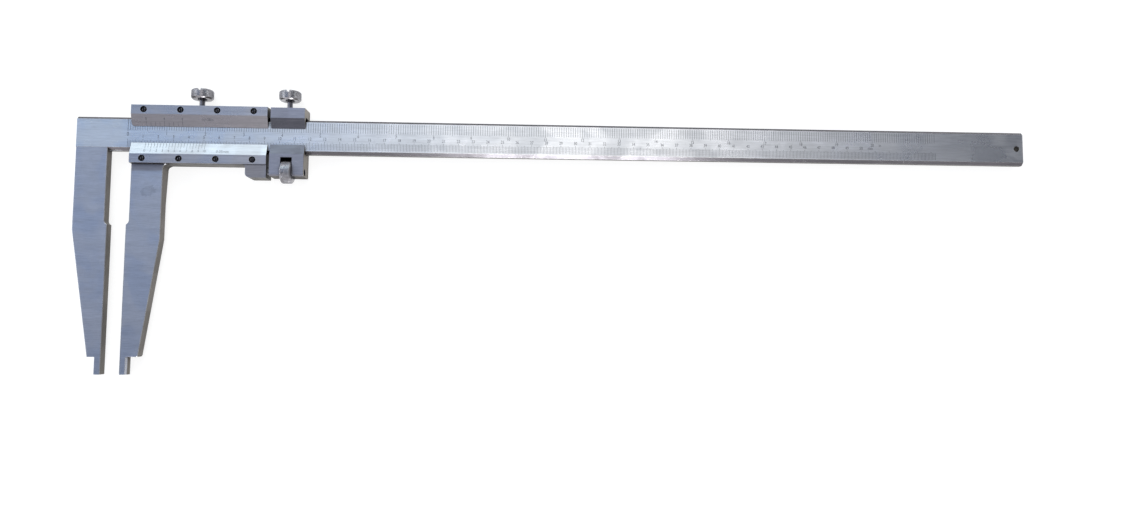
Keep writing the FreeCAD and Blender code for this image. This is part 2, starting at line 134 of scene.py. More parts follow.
class CaliperScales(bpy.types.PropertyGroup):
    """Sizes of the engraved lines and numbers."""
    ink: colour_prop("Ink", "Dark filling of the engraved lines", (0.035, 0.037, 0.045))
    line_width: length_prop("Line width", "Width of an engraved line", 0.20)
    film: length_prop("Filling height", "How far the filling stands proud of the steel", 0.012)
    zero_offset: length_prop("Zero line", "From a jaw's measuring face to its zero line", 11.0)
    metric_span: length_prop("Millimetre scale", "Length of the millimetre scale", 553.0)
    inch_span: length_prop("Inch scale", "Length of the inch scale", 552.45)
    digit_height: length_prop("Numbers", "Height of the numbers on the beam", 2.2)
    vernier_digit_height: length_prop("Vernier numbers", "Height of the numbers on the plates", 1.9)


class CaliperKnurls(bpy.types.PropertyGroup):
    """Sizes of the knurled parts and the threads."""
    teeth: bpy.props.IntProperty(name="Teeth", description="Knurl points around a knob or the nut",
                                 default=48, min=12, max=120)
    depth: length_prop("Knurl depth", "Depth of the grooves between the points", 0.28)
    thread_pitch: length_prop("Thread pitch", "Pitch of the fine screw and the lock screws", 0.7)
    thread_depth: length_prop("Thread depth", "Depth of these threads", 0.3)


class CaliperStage(bpy.types.PropertyGroup):
    """Camera and light."""
    lens: bpy.props.FloatProperty(name="Lens", description="Focal length on a sensor 36 mm wide",
                                  default=27.033, min=5.0, subtype="DISTANCE_CAMERA")
    camera_place: bpy.props.FloatVectorProperty(name="Camera place", description="Where the camera stands",
                                                default=(-0.0260, -0.06005, 0.58818), size=3,
                                                subtype="TRANSLATION", unit="LENGTH")
    camera_turn: bpy.props.FloatVectorProperty(name="Camera turn", description="How the camera is turned",
                                               default=CAMERA_TURN, size=3, subtype="EULER",
                                               unit="ROTATION")
    far_power: bpy.props.FloatProperty(name="Far window", description="Power of the light beyond the beam",
                                       default=5.5, min=0.0, unit="POWER")
    left_power: bpy.props.FloatProperty(name="Left window", description="Power of the light on the left",
                                        default=5.0, min=0.0, unit="POWER")
    front_power: bpy.props.FloatProperty(name="Front strip", description="Power of the low light in front",
                                         default=4.3, min=0.0, unit="POWER")
    sky_level: bpy.props.FloatProperty(name="Sky level", description="Brightness of the sky overhead",
                                       default=1.95, min=0.0)


class CaliperSettings(bpy.types.PropertyGroup):
    """All that a user would change."""
    steel: bpy.props.PointerProperty(type=CaliperSteel)
    scales: bpy.props.PointerProperty(type=CaliperScales)
    knurls: bpy.props.PointerProperty(type=CaliperKnurls)
    stage: bpy.props.PointerProperty(type=CaliperStage)


def settings():
    """The caliper's settings in this scene."""
    return bpy.context.scene.caliper


# Shader nodes

def add_node(tree, kind, inputs=None, **options):
    """Add a node, set its options and fill its inputs with values or with other nodes' outputs."""
    node = tree.nodes.new(kind)
    for key, value in options.items():
        setattr(node, key, value)
    for key, value in (inputs or {}).items():
        if isinstance(value, bpy.types.NodeSocket):
            tree.links.new(value, node.inputs[key])
        else:
            node.inputs[key].default_value = value
    return node


def maths(tree, operation, first, second=0.0):
    """One sum on one or two numbers or sockets."""
    return add_node(tree, "ShaderNodeMath", {0: first, 1: second}, operation=operation).outputs[0]


def ramp(tree, value, start, end, low=0.0, high=1.0):
    """Map a value that runs from start to end onto low to high, smoothly."""
    inputs = {"Value": value, "From Min": start, "From Max": end, "To Min": low, "To Max": high}
    node = add_node(tree, "ShaderNodeMapRange", inputs, interpolation_type="SMOOTHSTEP")
    return node.outputs["Result"]


def spread(tree, mask, low, high):
    """Map a mask onto low to high."""
    return ramp(tree, mask, 0.0, 1.0, low, high)


def mix_colour(tree, factor, first, second):
    """Blend two colours by a factor."""
    return add_node(tree, "ShaderNodeMix", {0: factor, 6: first, 7: second}, data_type="RGBA").outputs[2]


def noise(tree, vector, scale, detail=2.0, roughness=0.5, distortion=0.0):
    """A value that drifts from place to place."""
    inputs = {"Vector": vector, "Scale": scale, "Detail": detail, "Roughness": roughness,
              "Distortion": distortion}
    return add_node(tree, "ShaderNodeTexNoise", inputs).outputs["Fac"]


def vector_maths(tree, operation, first, second):
    """One sum on two vectors or sockets."""
    return add_node(tree, "ShaderNodeVectorMath", {0: first, 1: second}, operation=operation).outputs[0]


def solid(colour):
    """A colour with full alpha."""
    return (*colour, 1.0)


def scaled(colour, factor):
    """A colour made brighter or darker."""
    return [min(1.0, factor * part) for part in colour]


def start_group(name, inputs, outputs):
    """A node group with named sockets, given as (name, type, default)."""
    group = bpy.data.node_groups.new(name, "ShaderNodeTree")
    for title, kind, default in inputs:
        socket = group.interface.new_socket(title, in_out="INPUT", socket_type=kind)
        socket.default_value = default
    for title in outputs:
        group.interface.new_socket(title, in_out="OUTPUT", socket_type="NodeSocketFloat")
    entry = group.nodes.new("NodeGroupInput")
    exit_node = group.nodes.new("NodeGroupOutput")
    return group, entry.outputs, exit_node.inputs


def grinding_group():
    """Fine lines left by the grinding wheel, stretched along one axis."""
    group, given, result = start_group(
        "Grinding Lines",
        [("Vector", "NodeSocketVector", (0, 0, 0)), ("Lines per Metre", "NodeSocketVector", (1, 1, 1))],
        ["Lines", "Bands"])
    stretched = vector_maths(group, "MULTIPLY", given["Vector"], given["Lines per Metre"])
    fine = noise(group, stretched, 1.0, detail=3.0, roughness=0.65)
    broad = noise(group, stretched, 0.13)
    group.links.new(ramp(group, fine, 0.25, 0.75), result["Lines"])
    group.links.new(ramp(group, broad, 0.3, 0.7), result["Bands"])
    return group


def handling_group():
    """Uneven patches that hands and oil leave on bright steel."""
    group, given, result = start_group(
        "Handling Patches",
        [("Vector", "NodeSocketVector", (0, 0, 0)), ("Patches per Metre", "NodeSocketFloat", 40.0)],
        ["Patches", "Specks"])
    large = noise(group, given["Vector"], given["Patches per Metre"], 4.0, 0.55, distortion=0.6)
    specks_per_patch = 14.0
    finer = maths(group, "MULTIPLY", given["Patches per Metre"], specks_per_patch)
    small = noise(group, given["Vector"], finer, 3.0, 0.6)
    group.links.new(ramp(group, large, 0.36, 0.66), result["Patches"])
    group.links.new(ramp(group, small, 0.56, 0.74), result["Specks"])
    return group


def scratch_group():
    """Sparse hairline scratches in two directions."""
    group, given, result = start_group(
        "Hairline Scratches",
        [("Vector", "NodeSocketVector", (0, 0, 0)), ("Turn", "NodeSocketFloat", 0.6),
         ("Density", "NodeSocketFloat", 0.5)],
        ["Scratches"])
    lines_per_metre = (70.0, 1900.0, 1900.0)
    areas_per_metre = 55.0
    found = []
    for share in (1.0, -1.35):
        angle = maths(group, "MULTIPLY", given["Turn"], share)
        turned = add_node(group, "ShaderNodeVectorRotate", {"Vector": given["Vector"], "Angle": angle},
                          rotation_type="Z_AXIS").outputs[0]
        lines = noise(group, vector_maths(group, "MULTIPLY", turned, lines_per_metre), 1.0, detail=1.0)
        found.append(ramp(group, lines, 0.70, 0.78))
    place = noise(group, given["Vector"], areas_per_metre, detail=1.0)
    limit = maths(group, "SUBTRACT", 0.85, maths(group, "MULTIPLY", given["Density"], 0.5))
    allowed = maths(group, "GREATER_THAN", place, limit)
    both = maths(group, "MAXIMUM", found[0], found[1])
    group.links.new(maths(group, "MULTIPLY", both, allowed), result["Scratches"])
    return group


def edge_group():
    """Brighter edges: worn edges and a painted highlight."""
    group, given, result = start_group("Rubbed and Highlit Edges", [("Radius", "NodeSocketFloat", 0.0004)], ["Edges"])
    rounded = add_node(group, "ShaderNodeBevel", {"Radius": given["Radius"]}, samples=6).outputs["Normal"]
    flat = add_node(group, "ShaderNodeNewGeometry").outputs["Normal"]
    likeness = add_node(group, "ShaderNodeVectorMath", {0: rounded, 1: flat},
                        operation="DOT_PRODUCT").outputs["Value"]
    group.links.new(ramp(group, likeness, 0.995, 0.86), result["Edges"])
    return group


def direction_group():
    """Masks of the faces by where they look, in the piece's own frame. A height of 1 looks straight up."""
    group, _, result = start_group(
        "Face Directions", [],
        ["Sides", "Chamfers", "Bevels", "Toward Screws", "Toward Jaw Tips", "Toward Scale End"])
    normal = add_node(group, "ShaderNodeTexCoord").outputs["Normal"]
    parts = add_node(group, "ShaderNodeSeparateXYZ", {0: normal}).outputs
    height = maths(group, "ABSOLUTE", parts["Z"])
    group.links.new(ramp(group, height, 0.50, 0.30), result["Sides"])
    steep = ramp(group, height, 0.86, 0.80)
    group.links.new(maths(group, "MULTIPLY", steep, ramp(group, height, 0.50, 0.60)), result["Chamfers"])
    tilted = ramp(group, height, 0.985, 0.970)
    group.links.new(maths(group, "MULTIPLY", tilted, ramp(group, height, 0.86, 0.90)), result["Bevels"])
    group.links.new(ramp(group, parts["Y"], 0.25, 0.45), result["Toward Screws"])
    group.links.new(ramp(group, parts["Y"], -0.25, -0.45), result["Toward Jaw Tips"])
    group.links.new(ramp(group, parts["X"], 0.25, 0.45), result["Toward Scale End"])
    return group


def grime_group():
    """Painted shade: corners and recesses darken, where shade falls."""
    group, given, result = start_group("Corner Shade", [("Reach", "NodeSocketFloat", 0.006)], ["Painted Shade"])
    open_share = add_node(group, "ShaderNodeAmbientOcclusion", {"Distance": given["Reach"]},
                          samples=6).outputs["AO"]
    group.links.new(ramp(group, open_share, 0.95, 0.35), result["Painted Shade"])
    return group


def smudge_group():
    """One smudge left by an oily finger: longer than it is wide, and darker around its ragged border."""
    group, given, result = start_group(
        "Finger Smudge",
        [("Vector", "NodeSocketVector", (0, 0, 0)), ("Centre", "NodeSocketVector", (0, 0, 0)),
         ("Turn", "NodeSocketFloat", 0.0), ("Shares per Metre", "NodeSocketVector", (217, 300, 0))],
        ["Smudge"])
    offset = vector_maths(group, "SUBTRACT", given["Vector"], given["Centre"])
    turned = add_node(group, "ShaderNodeVectorRotate", {"Vector": offset, "Angle": given["Turn"]},
                      rotation_type="Z_AXIS").outputs[0]
    shaped = vector_maths(group, "MULTIPLY", turned, given["Shares per Metre"])
    reach = add_node(group, "ShaderNodeVectorMath", {0: shaped}, operation="LENGTH").outputs["Value"]
    ragged = noise(group, given["Vector"], 450.0, detail=3.0)
    border = maths(group, "ADD", reach, ramp(group, ragged, 0.3, 0.7, -0.25, 0.25))
    ring = ramp(group, border, 0.5, 0.85, 0.45, 1.0)
    group.links.new(maths(group, "MULTIPLY", ring, ramp(group, border, 1.15, 0.90)), result["Smudge"])
    return group


GROUP_MAKERS = {
    "Grinding Lines": grinding_group,
    "Handling Patches": handling_group,
    "Hairline Scratches": scratch_group,
    "Rubbed and Highlit Edges": edge_group,
    "Face Directions": direction_group,
    "Corner Shade": grime_group,
    "Finger Smudge": smudge_group,
}


def use_group(tree, name, inputs=None):
    """Place a shared effect in a material, and return its outputs."""
    group = bpy.data.node_groups.get(name) or GROUP_MAKERS[name]()
    return add_node(tree, "ShaderNodeGroup", inputs, node_tree=group).outputs


def new_material(name):
    """A material with only its shader and its output."""
    material = bpy.data.materials.new(name)
    material.use_nodes = True
    tree = material.node_tree
    tree.nodes.clear()
    shader = add_node(tree, "ShaderNodeBsdfPrincipled")
    output = add_node(tree, "ShaderNodeOutputMaterial")
    tree.links.new(shader.outputs[0], output.inputs["Surface"])
    return material, tree, shader


# Grinding lines per metre along X, Y and Z. The wheel ran along the beam, and across the jaws
ALONG_BEAM = (90.0, 2600.0, 2600.0)
ACROSS_JAW = (120.0, 2200.0, 2200.0)


def dull_mask(tree, place, patches, lug_start, band_start):
    """The slider's darker lug, and a ragged band of painted shade beside the lower plate."""
    raggedness = -1.2 * MM
    fade = 1.0 * MM
    parts = add_node(tree, "ShaderNodeSeparateXYZ", {0: place}).outputs
    ragged = maths(tree, "ADD", parts["Y"], maths(tree, "MULTIPLY", patches, raggedness))
    return maths(tree, "MAXIMUM", ramp(tree, parts["X"], lug_start - fade, lug_start + fade),
                 ramp(tree, ragged, band_start - fade, band_start + fade))


def chamfer_colour(tree, colour, faces, beam_chamfers):
    """Chamfers take painted shade: the beam's darkest toward the screws; another piece's turn to a painted
    highlight toward the scale's end.
    """
    steel = settings().steel
    shaded = 0.8
    if beam_chamfers:
        mask = faces["Toward Screws"]
        return mix_colour(tree, mask, solid(steel.chamfer), solid(scaled(steel.chamfer, shaded)))
    return mix_colour(tree, faces["Toward Scale End"], solid(scaled(colour, shaded)), solid(steel.rubbed))


def side_colour(tree, faces, side_tone):
    """Side faces are duller and carry painted shade, darkest where they look to the jaws' tips."""
    side = settings().steel.side
    tip_tone = 0.45
    return mix_colour(tree, faces["Toward Jaw Tips"], solid(scaled(side, side_tone)),
                      solid(scaled(side, tip_tone)))


def grain_tone(tree, grinding):
    """How far the grinding lines brighten and darken the steel."""
    grain = settings().steel.grain
    tone = spread(tree, grinding["Lines"], 1.0 - 0.35 * grain, 1.0 + 0.25 * grain)
    bands = spread(tree, grinding["Bands"], 1.0 - 0.12 * grain, 1.0 + 0.12 * grain)
    return maths(tree, "MULTIPLY", tone, bands)


def stain_tone(tree, place, handling, smudge_centre):
    """How far hands and oil darken the steel, with painted shade in its corners."""
    grime = use_group(tree, "Corner Shade")["Painted Shade"]
    patches = spread(tree, handling["Patches"], 1.03, 0.92)
    specks = spread(tree, handling["Specks"], 1.0, 0.93)
    # Painted shade in corners and recesses
    corners = spread(tree, grime, 1.0, 1.0 - settings().steel.grime)
    stains_and_shade = maths(tree, "MULTIPLY", maths(tree, "MULTIPLY", patches, specks), corners)
    if smudge_centre is None:
        return stains_and_shade
    turn = math.radians(-15)
    smudge = use_group(tree, "Finger Smudge", {"Vector": place, "Centre": smudge_centre, "Turn": turn})
    return maths(tree, "MULTIPLY", stains_and_shade, spread(tree, smudge["Smudge"], 1.0, 0.85))


def steel_material(name, colour, grain_axes, roughness=None, bevel_tone=1.0, beam_chamfers=False,
                   edge_gain=0.30, edge_radius=0.4 * MM, side_tone=1.0, lug_and_shade_places=None,
                   smudge_centre=None):
    """Ground steel: grinding lines, handling patches, hairlines, worn edges and some chamfers with a painted
    highlight, duller sides, and painted shade on sides, bevels, chamfers and corners.
    """
    found = bpy.data.materials.get(name)
    if found:
        return found
    steel = settings().steel
    rubbed = solid(scaled(colour, 1.5))
    hairline_strength = 0.35
    material, tree, shader = new_material(name)
    place = add_node(tree, "ShaderNodeTexCoord").outputs["Object"]
    grinding = use_group(tree, "Grinding Lines", {"Vector": place, "Lines per Metre": grain_axes})
    handling = use_group(tree, "Handling Patches", {"Vector": place})
    hairlines = use_group(tree, "Hairline Scratches", {"Vector": place})["Scratches"]
    edges = use_group(tree, "Rubbed and Highlit Edges", {"Radius": edge_radius})["Edges"]
    faces = use_group(tree, "Face Directions")

    # Bevels take painted shade, by bevel_tone
    base = mix_colour(tree, faces["Bevels"], solid(colour), solid(scaled(colour, bevel_tone)))
    # The lug's darker steel, and painted shade in the lug's colour on the band beside the lower plate
    if lug_and_shade_places is not None:
        lug_colour_and_shade = dull_mask(tree, place, handling["Patches"], *lug_and_shade_places)
        base = mix_colour(tree, lug_colour_and_shade, base, solid(steel.lug))
    # Chamfers: painted shade, and a painted highlight on some
    base = mix_colour(tree, faces["Chamfers"], base, chamfer_colour(tree, colour, faces, beam_chamfers))
    # Side faces: a duller finish with painted shade, scaled by side_tone
    base = mix_colour(tree, faces["Sides"], base, side_colour(tree, faces, side_tone))
    stains_and_shade = stain_tone(tree, place, handling, smudge_centre)
    tone = maths(tree, "MULTIPLY", grain_tone(tree, grinding), stains_and_shade)
    shaded = add_node(tree, "ShaderNodeVectorMath", {0: base, "Scale": tone}, operation="SCALE").outputs[0]
    lined = mix_colour(tree, maths(tree, "MULTIPLY", hairlines, hairline_strength), shaded, rubbed)
    front = maths(tree, "SUBTRACT", 1.0, faces["Sides"])
    # Edges brighten: worn steel and a painted highlight
    wear_and_highlight = maths(tree, "MULTIPLY", maths(tree, "MULTIPLY", edges, front), edge_gain)
    tree.links.new(mix_colour(tree, wear_and_highlight, lined, rubbed), shader.inputs["Base Color"])

    level = steel.roughness if roughness is None else roughness
    rough = spread(tree, handling["Patches"], level - 0.03, level + 0.05)
    rough = maths(tree, "ADD", rough, maths(tree, "MULTIPLY", faces["Sides"], 0.12))
    rough = maths(tree, "SUBTRACT", rough, maths(tree, "MULTIPLY", faces["Chamfers"], 0.08))
    tree.links.new(rough, shader.inputs["Roughness"])
    shader.inputs["Metallic"].default_value = 0.95
    relief = maths(tree, "SUBTRACT", grinding["Lines"], hairlines)
    bump = add_node(tree, "ShaderNodeBump", {"Height": relief, "Strength": 0.22 * steel.grain,
                                             "Distance": 0.02 * MM}).outputs["Normal"]
    tree.links.new(bump, shader.inputs["Normal"])
    return material


def plated_material(name, colour, roughness):
    """Polished metal: dirt in patches, painted shade in its corners, worn points with a painted highlight
    and fine pitting.
    """
    found = bpy.data.materials.get(name)
    if found:
        return found
    material, tree, shader = new_material(name)
    place = add_node(tree, "ShaderNodeTexCoord").outputs["Object"]
    handling = use_group(tree, "Handling Patches", {"Vector": place, "Patches per Metre": 160.0})
    edges = use_group(tree, "Rubbed and Highlit Edges", {"Radius": 0.15 * MM})["Edges"]
    grime = use_group(tree, "Corner Shade", {"Reach": 0.6 * MM})["Painted Shade"]
    handled = solid(scaled(colour, 0.75))
    corner_dark = solid(scaled(colour, 0.15))
    rubbed = solid(scaled(colour, 1.35))
    base = mix_colour(tree, handling["Patches"], solid(colour), handled)
    # Painted shade in corners and recesses: the colour turns dark there
    base = mix_colour(tree, maths(tree, "MULTIPLY", grime, settings().steel.grime), base, corner_dark)
    # Worn edges with a painted highlight
    base = mix_colour(tree, maths(tree, "MULTIPLY", edges, 0.35), base, rubbed)
    tree.links.new(base, shader.inputs["Base Color"])
    rough = spread(tree, handling["Patches"], roughness, roughness + 0.12)
    tree.links.new(rough, shader.inputs["Roughness"])
    shader.inputs["Metallic"].default_value = 0.97
    bump = add_node(tree, "ShaderNodeBump", {"Height": handling["Specks"], "Strength": 0.08,
                                             "Distance": 0.02 * MM}).outputs["Normal"]
    tree.links.new(bump, shader.inputs["Normal"])
    return material


def chrome_finish():
    """The bright plating of the knobs and the nut."""
    return plated_material("knurl_finish", settings().steel.chrome, 0.24)


def turned_finish():
    """The plain turned steel of the fine screw and its pin."""
    return plated_material("turned_finish", settings().steel.turned, 0.32)


def ink_material():
    """The dark filling of the engraved lines, a little worn."""
    found = bpy.data.materials.get("scale_ink")
    if found:
        return found
    colour = settings().scales.ink
    material, tree, shader = new_material("scale_ink")
    place = add_node(tree, "ShaderNodeTexCoord").outputs["Object"]
    handling = use_group(tree, "Handling Patches", {"Vector": place, "Patches per Metre": 60.0})
    worn = solid(scaled(colour, 3.2))
    tree.links.new(mix_colour(tree, handling["Patches"], solid(colour), worn), shader.inputs["Base Color"])
    tree.links.new(spread(tree, handling["Specks"], 0.55, 0.75), shader.inputs["Roughness"])
    return material


# Meshes

def dress_node(name, material, edge=None):
    """Give a CAD node its finish and break its sharp edges."""
    seam_gap = 0.001 * MM
    sharp_angle = 32
    piece = frame["nodes"][name]
    piece.data.materials.clear()
    piece.data.materials.append(material)
    weld = piece.modifiers.new("joined seams", "WELD")
    weld.merge_threshold = seam_gap
    bevel = piece.modifiers.new("broken edges", "BEVEL")
    bevel.width = settings().steel.broken_edge if edge is None else edge
    bevel.segments = 2
    bevel.limit_method = "ANGLE"
    bevel.angle_limit = math.radians(sharp_angle)
    bevel.use_clamp_overlap = True
    bevel.harden_normals = True
    shading = piece.modifiers.new("even shading", "WEIGHTED_NORMAL")
    shading.keep_sharp = True
    return piece


def finished_piece(name, mesh, material, body):
    """Turn a bmesh into a piece that rides on a body."""
    bmesh.ops.recalc_face_normals(mesh, faces=mesh.faces)
    data = bpy.data.meshes.new(name)
    mesh.to_mesh(data)
    mesh.free()
    data.materials.append(material)
    piece = bpy.data.objects.new(name, data)
    bpy.context.scene.collection.objects.link(piece)
    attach(piece, body)
    return piece


def shade_by_angle(piece, degrees):
    """Smooth a piece's faces, apart from edges sharper than an angle."""
    piece.data.shade_smooth()
    piece.data.set_sharp_from_angle(angle=math.radians(degrees))


def turned_mesh(rings, steps, place):
    """A closed turned body. rings holds radius functions of the turn, with their distances."""
    mesh = bmesh.new()
    loops = []
    for radius_at, along in rings:
        loop = []
        for step in range(steps):
            angle = 2 * math.pi * step / steps
            radius = radius_at(angle)
            point = Vector((radius * math.cos(angle), radius * math.sin(angle), along))
            loop.append(mesh.verts.new(place @ point))
        loops.append(loop)
    for low, high in zip(loops, loops[1:]):
        for step in range(steps):
            after = (step + 1) % steps
            mesh.faces.new((low[step], low[after], high[after], high[step]))
    return mesh, loops


def close_ends(mesh, loops):
    """Cap a turned body's first and last rings."""
    mesh.faces.new(list(reversed(loops[0])))
    mesh.faces.new(loops[-1])


def plain(radius):
    """A round ring."""
    return lambda angle: radius


def knurl_rings(outer, start, end, start_chamfer, end_chamfer):
    """Rings of a diamond knurled band whose grooves run out at its chamfers."""
    knurls = settings().knurls
    pitch = 2 * math.pi * outer / knurls.teeth
    rows_per_point = 4
    count = max(rows_per_point, round((end - start) / (pitch / rows_per_point)))

    def radius_at(along):
        cut = outer - max(0.0, start_chamfer - (along - start), end_chamfer - (end - along))

        def radius(angle):
            u = knurls.teeth * angle / (2 * math.pi)
            v = (along - start) / pitch
            first = abs(2 * ((u + v) % 1.0) - 1)
            second = abs(2 * ((u - v) % 1.0) - 1)
            return min(cut, outer - knurls.depth * (1 - min(first, second)))
        return radius

    places = [start + (end - start) * i / count for i in range(count + 1)]
    return [(radius_at(along), along) for along in places]


def thread_rings(outer, start, end):
    """Rings of a right-handed thread between two places on its axis."""
    knurls = settings().knurls
    rows_per_pitch = 6
    flank_gain = 1.35
    count = max(2, round((end - start) / knurls.thread_pitch * rows_per_pitch))

    def radius_at(along):
        fade = min(1.0, (along - start) / knurls.thread_pitch, (end - along) / knurls.thread_pitch)

        def radius(angle):
            turn = (along / knurls.thread_pitch - angle / (2 * math.pi)) % 1.0
            groove = min(1.0, flank_gain * (1 - abs(2 * turn - 1)))
            return outer - knurls.thread_depth * max(0.0, fade) * groove
        return radius

    places = [start + (end - start) * i / count for i in range(count + 1)]
    return [(radius_at(along), along) for along in places]


def plane_matrix(origin, along, up):
    """A writing plane: its own X runs along the scale, its own Y up the numbers."""
    x = Vector(along).normalized()
    y = Vector(up).normalized()
    z = x.cross(y)
    matrix = Matrix((x, y, z)).transposed().to_4x4()
    matrix.translation = origin
    return matrix


def add_line(mesh, plane, at, low, high, width=None):
    """Add one engraved line, from low to high, to a scale's mesh."""
    scales = settings().scales
    wide = scales.line_width if width is None else width
    size = Matrix.Diagonal((wide, abs(high - low), scales.film, 1.0))
    place = Matrix.Translation((at, (low + high) / 2, scales.film / 2))
    bmesh.ops.create_cube(mesh, size=1.0, matrix=plane @ place @ size)


def add_number(mesh, plane, text, at, middle, height, width_share=0.80):
    """Add a number, centred on a place of the plane, to a scale's mesh.

    digit_share is a digit's height as a share of the letters' size.
    """
    digit_share = 0.729
    thinning = 0.002
    size = height / digit_share
    film = settings().scales.film
    curve = bpy.data.curves.new("number", "FONT")
    curve.body = text
    curve.align_x = "CENTER"
    curve.size = size
    curve.offset = -thinning * size
    curve.extrude = film / 2
    curve.resolution_u = 3
    holder = bpy.data.objects.new("number", curve)
    letters = bpy.data.meshes.new_from_object(holder)
    place = Matrix.Translation((at, middle - height / 2, film / 2))
    letters.transform(plane @ place @ Matrix.Diagonal((width_share, 1.0, 1.0, 1.0)))
    mesh.from_mesh(letters)
    bpy.data.objects.remove(holder)
    bpy.data.curves.remove(curve)
    bpy.data.meshes.remove(letters)


# Scales

def beam_plane():
    """The beam's front face, with its zero line at the origin and its middle at zero height."""
    low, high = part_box("beam")
    zero = MOUNT_PLACES["fixed_measuring_face"].x + settings().scales.zero_offset
    return plane_matrix((zero, (low.y + high.y) / 2, high.z), (1, 0, 0), (0, 1, 0))


def make_metric_scale():
    """The millimetre scale along the beam's lower half, numbered in centimetres."""
    scales = settings().scales
    plane = beam_plane()
    mesh = bmesh.new()
    foot = -8.9 * MM
    tops = {10: -3.1 * MM, 5: -3.6 * MM, 1: -4.1 * MM}
    number_middle = -1.25 * MM
    last_number = 50
    unit_gap = 6.5 * MM
    for tick in range(round(scales.metric_span / MM) + 1):
        kind = next(step for step in tops if tick % step == 0)
        add_line(mesh, plane, tick * MM, foot, tops[kind])
        centimetres = tick // 10
        if kind == 10 and 0 < centimetres <= last_number:
            add_number(mesh, plane, str(centimetres), tick * MM, number_middle, scales.digit_height)
    add_number(mesh, plane, "mm", last_number * 10 * MM + unit_gap, number_middle, scales.digit_height)
    return finished_piece("metric_beam_scale", mesh, ink_material(), "beam_body")


def make_inch_scale():
    """The sixteenths of an inch along the beam's upper half, with the long zero line."""
    scales = settings().scales
    plane = beam_plane()
    mesh = bmesh.new()
    top = 9.5 * MM
    feet = {16: 2.2 * MM, 8: 2.6 * MM, 1: 3.0 * MM}
    number_middle = 0.95 * MM
    last_number = 20
    unit_gap = 5.5 * MM
    for tick in range(1, round(scales.inch_span / (INCH / 16)) + 1):
        kind = next(step for step in feet if tick % step == 0)
        at = tick * INCH / 16
        add_line(mesh, plane, at, feet[kind], top)
        inches = tick // 16
        if kind == 16 and inches <= last_number:
            add_number(mesh, plane, str(inches), at, number_middle, scales.digit_height)
    add_number(mesh, plane, "in", last_number * INCH + unit_gap, number_middle, scales.digit_height)
    zero_gain = 1.25
    zero_middle = 0.35 * MM
    zero_inset = 1.6 * MM
    zero_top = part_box("beam")[1].y - plane.translation.y - zero_inset
    add_line(mesh, plane, 0.0, feet[16], zero_top, zero_gain * scales.line_width)
    add_number(mesh, plane, "0", 0.0, zero_middle, zero_gain * scales.digit_height)
    return finished_piece("inch_beam_scale", mesh, ink_material(), "beam_body")


def bevel_plane(node, side):
    """A vernier plate's bevel, from its thin edge up. side is 1 above the scale and -1 below it."""
    low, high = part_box(node)
    edge_thickness = 0.3 * MM
    flat_width = 6.2 * MM
    thin_y, flat_y = (low.y, high.y - flat_width) if side > 0 else (high.y, low.y + flat_width)
    thin = Vector((0, thin_y, low.z + edge_thickness))
    thick = Vector((0, flat_y, high.z))
    zero = MOUNT_PLACES["moving_measuring_face"].x + settings().scales.zero_offset
    up = (thick - thin) * side
    return plane_matrix((zero, thin.y, thin.z), (1, 0, 0), up)


def make_metric_vernier():
    """Twenty divisions over thirty-nine millimetres on the lower bevel."""
    scales = settings().scales
    plane = bevel_plane("metric_vernier_plate", -1)
    mesh = bmesh.new()
    divisions = 20
    step = 39.0 * MM / divisions
    edge_gap = -0.15 * MM
    long_foot = -4.4 * MM
    short_foot = -3.6 * MM
    number_middle = -5.9 * MM
    unit_place = 51.0 * MM
    for tick in range(divisions + 1):
        numbered = tick % 2 == 0
        add_line(mesh, plane, tick * step, long_foot if numbered else short_foot, edge_gap)
        if numbered:
            add_number(mesh, plane, str(tick // 2), tick * step, number_middle, scales.vernier_digit_height)
    add_number(mesh, plane, "0.05mm", unit_place, number_middle, scales.vernier_digit_height, 1.0)
    return finished_piece("metric_vernier_scale", mesh, ink_material(), "slider_body")


def make_inch_vernier():
    """Eight divisions over fifteen sixteenths of an inch on the upper bevel."""
    scales = settings().scales
    plane = bevel_plane("inch_vernier_plate", 1)
    mesh = bmesh.new()
    divisions = 8
    step = 15 / 16 * INCH / divisions
    edge_gap = 0.15 * MM
    long_top = 3.6 * MM
    short_top = 2.8 * MM
    number_middle = 5.1 * MM
    unit_place = 40.5 * MM
    unit_middle = 5.0 * MM
    for tick in range(divisions + 1):
        numbered = tick % 4 == 0
        add_line(mesh, plane, tick * step, edge_gap, long_top if numbered else short_top)
        if numbered:
            add_number(mesh, plane, str(tick), tick * step, number_middle, scales.vernier_digit_height)
    add_number(mesh, plane, "1/128in", unit_place, unit_middle, scales.vernier_digit_height, 1.0)
    return finished_piece("inch_vernier_scale", mesh, ink_material(), "slider_body")


# Knurled and threaded parts

def axis_frame(origin, axis, zero):
    """A frame whose Z runs along a turned part's axis and whose X marks its zero angle."""
    z = Vector(axis)
    x = Vector(zero)
    matrix = Matrix((x, z.cross(x), z)).transposed().to_4x4()
    matrix.translation = origin
    return matrix


def cut_with_box(piece, low, high):
    """Cut a box out of a piece."""
    tool_mesh = bmesh.new()
    size = Matrix.Diagonal((*(high - low), 1.0))
    bmesh.ops.create_cube(tool_mesh, size=1.0, matrix=Matrix.Translation((low + high) / 2) @ size)
    data = bpy.data.meshes.new("slot cutter")
    tool_mesh.to_mesh(data)
    tool_mesh.free()
    cutter = bpy.data.objects.new("slot cutter", data)
    bpy.context.scene.collection.objects.link(cutter)
    cut = piece.modifiers.new("slot", "BOOLEAN")
    cut.operation = "DIFFERENCE"
    cut.solver = "EXACT"
    cut.object = cutter
    graph = bpy.context.evaluated_depsgraph_get()
    result = bpy.data.meshes.new_from_object(piece.evaluated_get(graph))
    piece.modifiers.clear()
    piece.data = result
    bpy.data.objects.remove(cutter)


